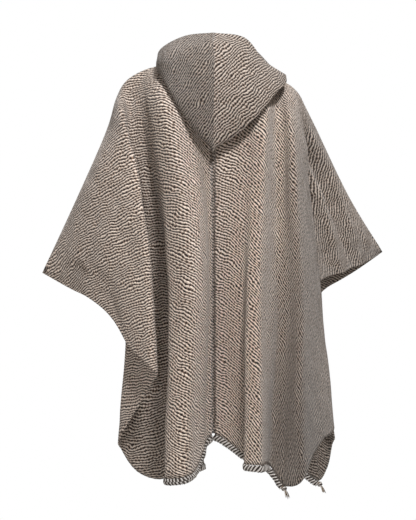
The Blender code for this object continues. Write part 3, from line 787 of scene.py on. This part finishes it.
def slow_waves(cloth):
    """Gentle unevenness of loose cloth."""
    total = np.zeros(cloth.shape[:-1])
    for size, across, down, start in WAVES:
        bend = np.sin(cloth[..., 1] * 2 * math.pi / (down * BEND_LENGTH) + start * BEND_START)
        total += size * np.sin(cloth[..., 0] * 2 * math.pi / across + start + BEND_SIZE * bend)
    return total


def panel_faces(ridge, folds, creases, side):
    """Back and front grids of one panel, with its creases, as (grid, layers, flip).

    The layers hold four values at each point: its place in the flat cut and in the weave.
    """
    ridge_line = spline(ridge, [RIDGE_SAMPLES] * (len(ridge) - 1))
    shares = blend_steps(ROW_STEPS, [ROWS_PER_STEP] * (len(ROW_STEPS) - 1))
    made = []
    for _, face in FACES:
        grid, cloth = face_grid(folds_of(folds, face), ridge_line, side, face, shares)
        signed = cloth * np.array([1.0, face])
        offset = crease_depth(signed, creases) + slow_waves(signed)
        rise = np.clip(shares / CALM_DOWN, 0.0, 1.0)[None, :]
        calm = np.clip(cloth[..., 0] / CALM_ACROSS, 0.0, 1.0) * rise
        grid = grid + normals_of(grid, side * face) * (offset * calm)[..., None]
        free = np.ones(cloth.shape[:2], dtype=bool)
        free[-1] = False
        free[:, 0] = False
        weave = unrolled(grid, gathered_start(grid, cloth), free) * np.array([1.0, face])
        layers = np.concatenate([signed, weave], axis=2)
        grid, layers = add_seam_strip(grid, layers, side)
        made.append((grid, layers * np.array([side, 1.0, side, 1.0]), side * face < 0))
    return made


def creased_hood(table, side):
    """Grid of one half of the hood, with its creases, run a little past the centre seam."""
    rows = [dict(zip(HOOD_COLUMNS, row)) for row in table]
    down = [cut * FINE_HOOD for cut in HOOD_CUTS]
    lines = [spline([row[key] for key in HOOD_COLUMNS[1:]], down) for row in rows]
    grid = grid_through(lines, [row["cuts"] * FINE_HOOD for row in rows[:-1]])
    outside = np.arange(len(grid[0])) >= sum(down[:HOOD_INSIDE])
    bump = crease_depth(grid[..., [0, 2]], HOOD_CREASES) * outside[None, :]
    calm = np.clip(np.abs(grid[..., 0]) / HOOD_CALM, 0.0, 1.0)
    grid = grid + normals_of(grid, -side) * (bump * calm)[..., None]
    past = np.array([-side * SEAM_OVERRUN, 0.0, 0.0])
    grid = np.concatenate([grid, grid[-1:] + past])
    last = grid[:, -1:] * np.array([0.0, 1.0, 1.0]) + past
    return np.concatenate([grid, last], axis=1)


def hood_face(table, side):
    """Grid of one half of the hood and its places in the flat cut and in the weave."""
    grid = creased_hood(table, side)
    reach = lengths_along(grid, axis=1)
    from_seam = (reach[:, -1:] - reach) * side
    from_face = lengths_along(grid)
    cloth = np.stack([from_seam, np.broadcast_to(from_face[:, -1:], from_seam.shape)], axis=2)
    free = np.ones(cloth.shape[:2], dtype=bool)
    free[:, -2:] = False
    turn = math.radians(HOOD_TURN)
    spin = np.array([[math.cos(turn), math.sin(turn)], [-math.sin(turn), math.cos(turn)]])
    layers = np.concatenate([cloth, unrolled(grid, cloth, free) @ spin], axis=2)
    return grid, layers, side < 0


def add_grid(mesh, grid, layers, flip):
    """Add a grid of points to a bmesh, with its places in the flat cut and in the weave."""
    cloth = mesh.loops.layers.uv["cloth"]
    weave = mesh.loops.layers.uv["weave"]
    corners = [[mesh.verts.new(point * MM) for point in line] for line in grid]
    for i in range(len(grid) - 1):
        for k in range(len(grid[0]) - 1):
            loop = [(i, k), (i, k + 1), (i + 1, k + 1), (i + 1, k)]
            if flip:
                loop.reverse()
            face = mesh.faces.new([corners[a][b] for a, b in loop])
            for (a, b), corner in zip(loop, face.loops):
                corner[cloth].uv = layers[a, b, :2] * MM
                corner[weave].uv = layers[a, b, 2:] * MM


def link_piece(name, mesh, finishes):
    """Turn a bmesh into a named, smooth piece."""
    data = bpy.data.meshes.new(name)
    mesh.to_mesh(data)
    mesh.free()
    for finish in finishes:
        data.materials.append(finish)
    data.shade_smooth()
    made = bpy.data.objects.new(name, data)
    bpy.context.scene.collection.objects.link(made)
    return made


def walled(name, faces, finish):
    """Cloth piece with its wall, through one or more grids that share an edge."""
    mesh = bmesh.new()
    mesh.loops.layers.uv.new("cloth")
    mesh.loops.layers.uv.new("weave")
    for grid, layers, flip in faces:
        add_grid(mesh, grid, layers, flip)
    bmesh.ops.remove_doubles(mesh, verts=mesh.verts, dist=WELD_DISTANCE * MM)
    bmesh.ops.dissolve_degenerate(mesh, edges=mesh.edges, dist=WELD_DISTANCE * MM)
    made = link_piece(name, mesh, [finish])
    wall = made.modifiers.new("wall", "SOLIDIFY")
    wall.thickness = CLOTH_WALL * MM
    wall.offset = 0.0
    wall.use_even_offset = False
    return made


def evaluated_mesh(made):
    """A bmesh of a piece as its modifiers leave it."""
    graph = bpy.context.evaluated_depsgraph_get()
    mesh = bmesh.new()
    mesh.from_mesh(made.evaluated_get(graph).to_mesh())
    return mesh


def settle(made, mesh):
    """Give a piece a finished mesh and drop its modifiers."""
    made.modifiers.clear()
    mesh.to_mesh(made.data)
    mesh.free()


def trim_at_seam(mesh, side):
    """Cut a walled mesh flat at the centre seam and close the cut."""
    everything = mesh.verts[:] + mesh.edges[:] + mesh.faces[:]
    cut = bmesh.ops.bisect_plane(mesh, geom=everything, dist=CUT_TOLERANCE,
                                 clear_inner=True, plane_co=(side * SEAM_GAP / 2 * MM, 0, 0),
                                 plane_no=(side, 0, 0))
    rim = [item for item in cut["geom_cut"] if isinstance(item, bmesh.types.BMEdge)]
    bmesh.ops.triangle_fill(mesh, edges=rim, use_beauty=True)
    bmesh.ops.recalc_face_normals(mesh, faces=mesh.faces)


def add_tube(mesh, layer, path, radii, colour):
    """Add a round strand along a path, closed at both ends."""
    rings = []
    for i, centre in enumerate(path):
        run = unit(path[min(i + 1, len(path) - 1)] - path[max(i - 1, 0)])
        side = unit(np.cross(run, TUBE_ASIDE))
        lift = np.cross(side, run)
        ring = []
        for k in range(YARN_SIDES):
            turn = 2 * math.pi * k / YARN_SIDES
            point = centre + (side * math.cos(turn) + lift * math.sin(turn)) * radii[i]
            ring.append(mesh.verts.new(point * MM))
        rings.append(ring)
    reach = lengths_along(path)
    for i in range(len(path) - 1):
        for k in range(YARN_SIDES):
            after = (k + 1) % YARN_SIDES
            face = mesh.faces.new((rings[i][k], rings[i][after],
                                   rings[i + 1][after], rings[i + 1][k]))
            face.material_index = colour
            places = ((i, k), (i, k + 1), (i + 1, k + 1), (i + 1, k))
            for corner, (a, b) in zip(face.loops, places):
                corner[layer].uv = (reach[a], b * radii[0])
    for ring, order in ((rings[0], -1), (rings[-1], 1)):
        mesh.faces.new(ring[::order]).material_index = colour


def strand_mesh():
    """An empty bmesh for strands of yarn, and the layer that their plies are set in."""
    mesh = bmesh.new()
    return mesh, mesh.loops.layers.uv.new("cloth")


def frame_at(path, i):
    """Directions out of a hem and up from it at one point; the last stretch keeps one run."""
    run = path[min(i + 1, len(path) - 1)] - path[max(i - 1, 0)]
    if i >= len(path) - 2:
        run = path[-1] - path[-2]
    out = unit(np.cross(run, (0.0, 0.0, 1.0)))
    return out, unit(np.cross(out, run))


def hem_line(rows, grid):
    """Middle line of the cord under one hem, from the corner to the centre seam."""
    corner = [row["edge"] for row in rows].index(PANEL_HALF_LENGTH)
    edge = grid[sum(row["cuts"] for row in rows[:corner]) * FINE_ACROSS:, -1]
    hang = CORD_SEAT + CORD_DEPTH / 2
    return np.array([edge[i] - hang * frame_at(edge, i)[1] for i in range(len(edge))])


def add_wraps(mesh, layer, core, rng):
    """Slanting turns of yarn round a hem's core, each a pitch on from the last, by colours."""
    for i, centre in enumerate(core):
        out, up = frame_at(core, i)
        run = np.cross(up, out)
        tall = WRAP_TALL + rng.uniform(-WRAP_TALL_STRAY, WRAP_TALL_STRAY)
        thick = WRAP_THICK + rng.uniform(-WRAP_THICK_STRAY, WRAP_THICK_STRAY)
        lean = WRAP_SLANT * rng.uniform(*WRAP_LEANS)
        loop = [centre + out * thick * math.cos(t) + up * tall * math.sin(t)
                - run * lean * math.sin(t) * 0.5 + run * WRAP_PITCH * (t / math.pi - 1.0) * 0.5
                for t in ROUND]
        size = WRAP_RADIUS * rng.uniform(*WRAP_SIZES)
        colour = WRAP_COLOURS[i % len(WRAP_COLOURS)]
        add_tube(mesh, layer, np.array(loop), [size] * len(loop), colour)


def add_knot(mesh, layer, corner, away, side, rng):
    """Knot at the corner of a hem: rings of yarn, each tilted on from the last."""
    up = np.array([0.0, 0.0, 1.0])
    for number, colour in enumerate(KNOT_COLOURS):
        tilt = number * math.pi / len(KNOT_COLOURS) + rng.uniform(-KNOT_STRAY, KNOT_STRAY)
        first = away * math.cos(tilt) + up * math.sin(tilt)
        ring = [corner + away * KNOT_AWAY
                + (first * math.cos(t) + side * math.sin(t)) * KNOT_RADIUS for t in ROUND]
        add_tube(mesh, layer, np.array(ring), [KNOT_YARN] * len(ring), colour)


def add_tail(mesh, layer, corner, away, side, rng):
    """Loose ends of yarn that fall from the knot and spread."""
    shares = np.linspace(0.0, 1.0, TAIL_SAMPLES)
    sizes = [TAIL_RADIUS - TAIL_TAPER * s ** 2 for s in shares]
    start_away, run_away = TAIL_AWAY
    start_down, straight_down, curved_down = TAIL_DOWN
    narrow, widening = TAIL_SPREAD
    for strand, colour in enumerate(TAIL_COLOURS):
        spread = (strand - (len(TAIL_COLOURS) - 1) / 2) * TAIL_SPACING
        reach = TAIL_LENGTH * rng.uniform(TAIL_SHORTEST, 1.0)
        path = [corner + away * (start_away + reach * run_away * s)
                + side * spread * (narrow + widening * s)
                - np.array([0.0, 0.0,
                            start_down + reach * (straight_down * s + curved_down * s * s)])
                for s in shares]
        add_tube(mesh, layer, np.array(path), sizes, colour)


def whipped_hem(name, rows, grid, yarns, rng):
    """Cord under one hem: slanting wraps of yarn in two colours, a corner knot and its tail."""
    mesh, layer = strand_mesh()
    hem = hem_line(rows, grid)
    core = even_steps(hem, WRAP_PITCH)
    add_tube(mesh, layer, core, [CORE_RADIUS] * len(core), DARK)
    add_wraps(mesh, layer, core, rng)
    away = unit((hem[0] - hem[1]) * np.array([1.0, 1.0, 0.0]))
    side = np.cross(away, (0.0, 0.0, 1.0))
    add_knot(mesh, layer, hem[0], away, side, rng)
    add_tail(mesh, layer, hem[0], away, side, rng)
    bmesh.ops.recalc_face_normals(mesh, faces=mesh.faces)
    return link_piece(name, mesh, yarns)


def seam_path(left, right, face):
    """Middle line of the centre seam of two panel faces and the directions out of it."""
    path = (left[-1] + right[-1]) / 2
    return path, np.cross((face, 0.0, 0.0), np.gradient(path, axis=0))


def stitches(name, path, outs, finish, rng):
    """Short slanting stitches of yarn across a seam."""
    mesh, layer = strand_mesh()
    reach = lengths_along(path)
    shares = np.linspace(-1.0, 1.0, STITCH_SAMPLES)
    sizes = [STITCH_RADIUS * (1.0 - STITCH_TAPER * s ** 2) for s in shares]
    for number in range(int(reach[-1] / STITCH_PITCH)):
        at = (number + 0.5 + rng.uniform(-STITCH_STRAY, STITCH_STRAY)) * STITCH_PITCH
        centre = value_at(path, reach, at)
        out = unit(value_at(outs, reach, at))
        run = unit(value_at(path, reach, at + STITCH_AHEAD) - centre)
        side = np.cross(run, out)
        points = [centre + side * STITCH_REACH * s + run * STITCH_SLANT * s
                  + out * (STITCH_LIFT * (1.0 - STITCH_DIP * s ** 4) - STITCH_SINK)
                  for s in shares]
        add_tube(mesh, layer, np.array(points), sizes, DARK)
    bmesh.ops.recalc_face_normals(mesh, faces=mesh.faces)
    return link_piece(name, mesh, [finish])


def finish_piece(piece, slot, *nodes):
    """Say which body carries a piece and which solids it stands for; the slot is not used."""
    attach(piece, "root")
    if nodes:
        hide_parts(*nodes)


def dress_panel(name, ridge, folds, creases, side, twill, yarns, rng):
    """One panel and its two whipped hems; returns the grids of the panel's back and front."""
    faces = panel_faces(ridge, folds, creases, side)
    cloth = walled("cloth_" + name, faces, twill)
    settle(cloth, evaluated_mesh(cloth))
    finish_piece(cloth, "wool_twill", "panel_" + name)
    grids = [grid for grid, _, _ in faces]
    for (where, face), grid in zip(FACES, grids):
        rows = folds_of(folds, face)
        hem = whipped_hem("whipped_%s_%s" % (where, name), rows, grid, yarns, rng)
        finish_piece(hem, "edge_yarn", "hem_cord_%s_%s" % (where, name))
    return grids


def dress_hood(name, table, side):
    """One half of the hood, lying on the panel of its side."""
    # Each half of the hood takes a darkened copy of the twill as painted shade
    finish = wool_twill("wool twill shaded hood " + name, HOOD_PAINTED_SHADE[name])
    hood = walled("hood_cloth_" + name, [hood_face(table, side)], finish)
    mesh = evaluated_mesh(hood)
    trim_at_seam(mesh, side)
    settle(hood, mesh)
    finish_piece(hood, "wool_twill", "hood_" + name)


def build():
    """Every piece of the poncho, in the order of the random draws."""
    rng = random.Random(SEED)
    twill = wool_twill("wool twill", 1.0)
    yarns = [plied_yarn(*row) for row in YARNS]
    left = dress_panel("left", RIDGE_LEFT, FOLDS_LEFT, CREASES_LEFT, 1, twill, yarns, rng)
    right = dress_panel("right", RIDGE_RIGHT, FOLDS_RIGHT, CREASES_RIGHT, -1, twill, yarns, rng)
    dress_hood("left", HOOD_LEFT, 1)
    dress_hood("right", HOOD_RIGHT, -1)
    for (where, face), left_grid, right_grid in zip(FACES, left, right):
        path, outs = seam_path(left_grid, right_grid, face)
        seam = stitches("seam_" + where, path, outs, yarns[DARK], rng)
        finish_piece(seam, "edge_yarn")


def surroundings():
    """White world to the camera, and a soft light on the cloth."""
    world = bpy.data.worlds.new("studio")
    bpy.context.scene.world = world
    world.use_nodes = True
    tree = world.node_tree
    seen = tree.nodes.new("ShaderNodeBackground")
    soft = tree.nodes["Background"]
    for shader, (colour, strength) in ((seen, SEEN_WORLD), (soft, SOFT_WORLD)):
        shader.inputs["Color"].default_value = colour
        shader.inputs["Strength"].default_value = strength
    rays = tree.nodes.new("ShaderNodeLightPath")
    choose = tree.nodes.new("ShaderNodeMixShader")
    tree.links.new(rays.outputs["Is Camera Ray"], choose.inputs[0])
    tree.links.new(soft.outputs[0], choose.inputs[1])
    tree.links.new(seen.outputs[0], choose.inputs[2])
    tree.links.new(choose.outputs[0], tree.nodes["World Output"].inputs["Surface"])


def studio():
    """Pale floor below the hem, white surroundings, soft lights and the camera."""
    disc = bmesh.new()
    bmesh.ops.create_circle(disc, cap_ends=True, segments=FLOOR_SIDES, radius=FLOOR_RADIUS)
    ground = link_piece("floor", disc, [floor_finish()])
    ground.location = (0.0, 0.0, -FLOOR_DROP)
    surroundings()
    for name, place, size, power in LIGHTS:
        lamp = bpy.data.lights.new(name, "AREA")
        lamp.shape = "DISK"
        lamp.size = size
        lamp.energy = power
        made = bpy.data.objects.new(name, lamp)
        made.location = place
        direction = Vector(LIGHT_AIM) - Vector(place)
        made.rotation_mode = "QUATERNION"
        made.rotation_quaternion = direction.to_track_quat("-Z", "Y")
        bpy.context.scene.collection.objects.link(made)
    eye = bpy.data.cameras.new("camera")
    eye.lens = CAMERA_LENS
    eye.sensor_width = CAMERA_SENSOR
    shot = bpy.data.objects.new("camera", eye)
    shot.location = CAMERA_PLACE
    shot.rotation_euler = CAMERA_TURN
    bpy.context.scene.collection.objects.link(shot)
    bpy.context.scene.camera = shot
    bpy.context.scene.view_settings.view_transform = "Standard"


build()
studio()
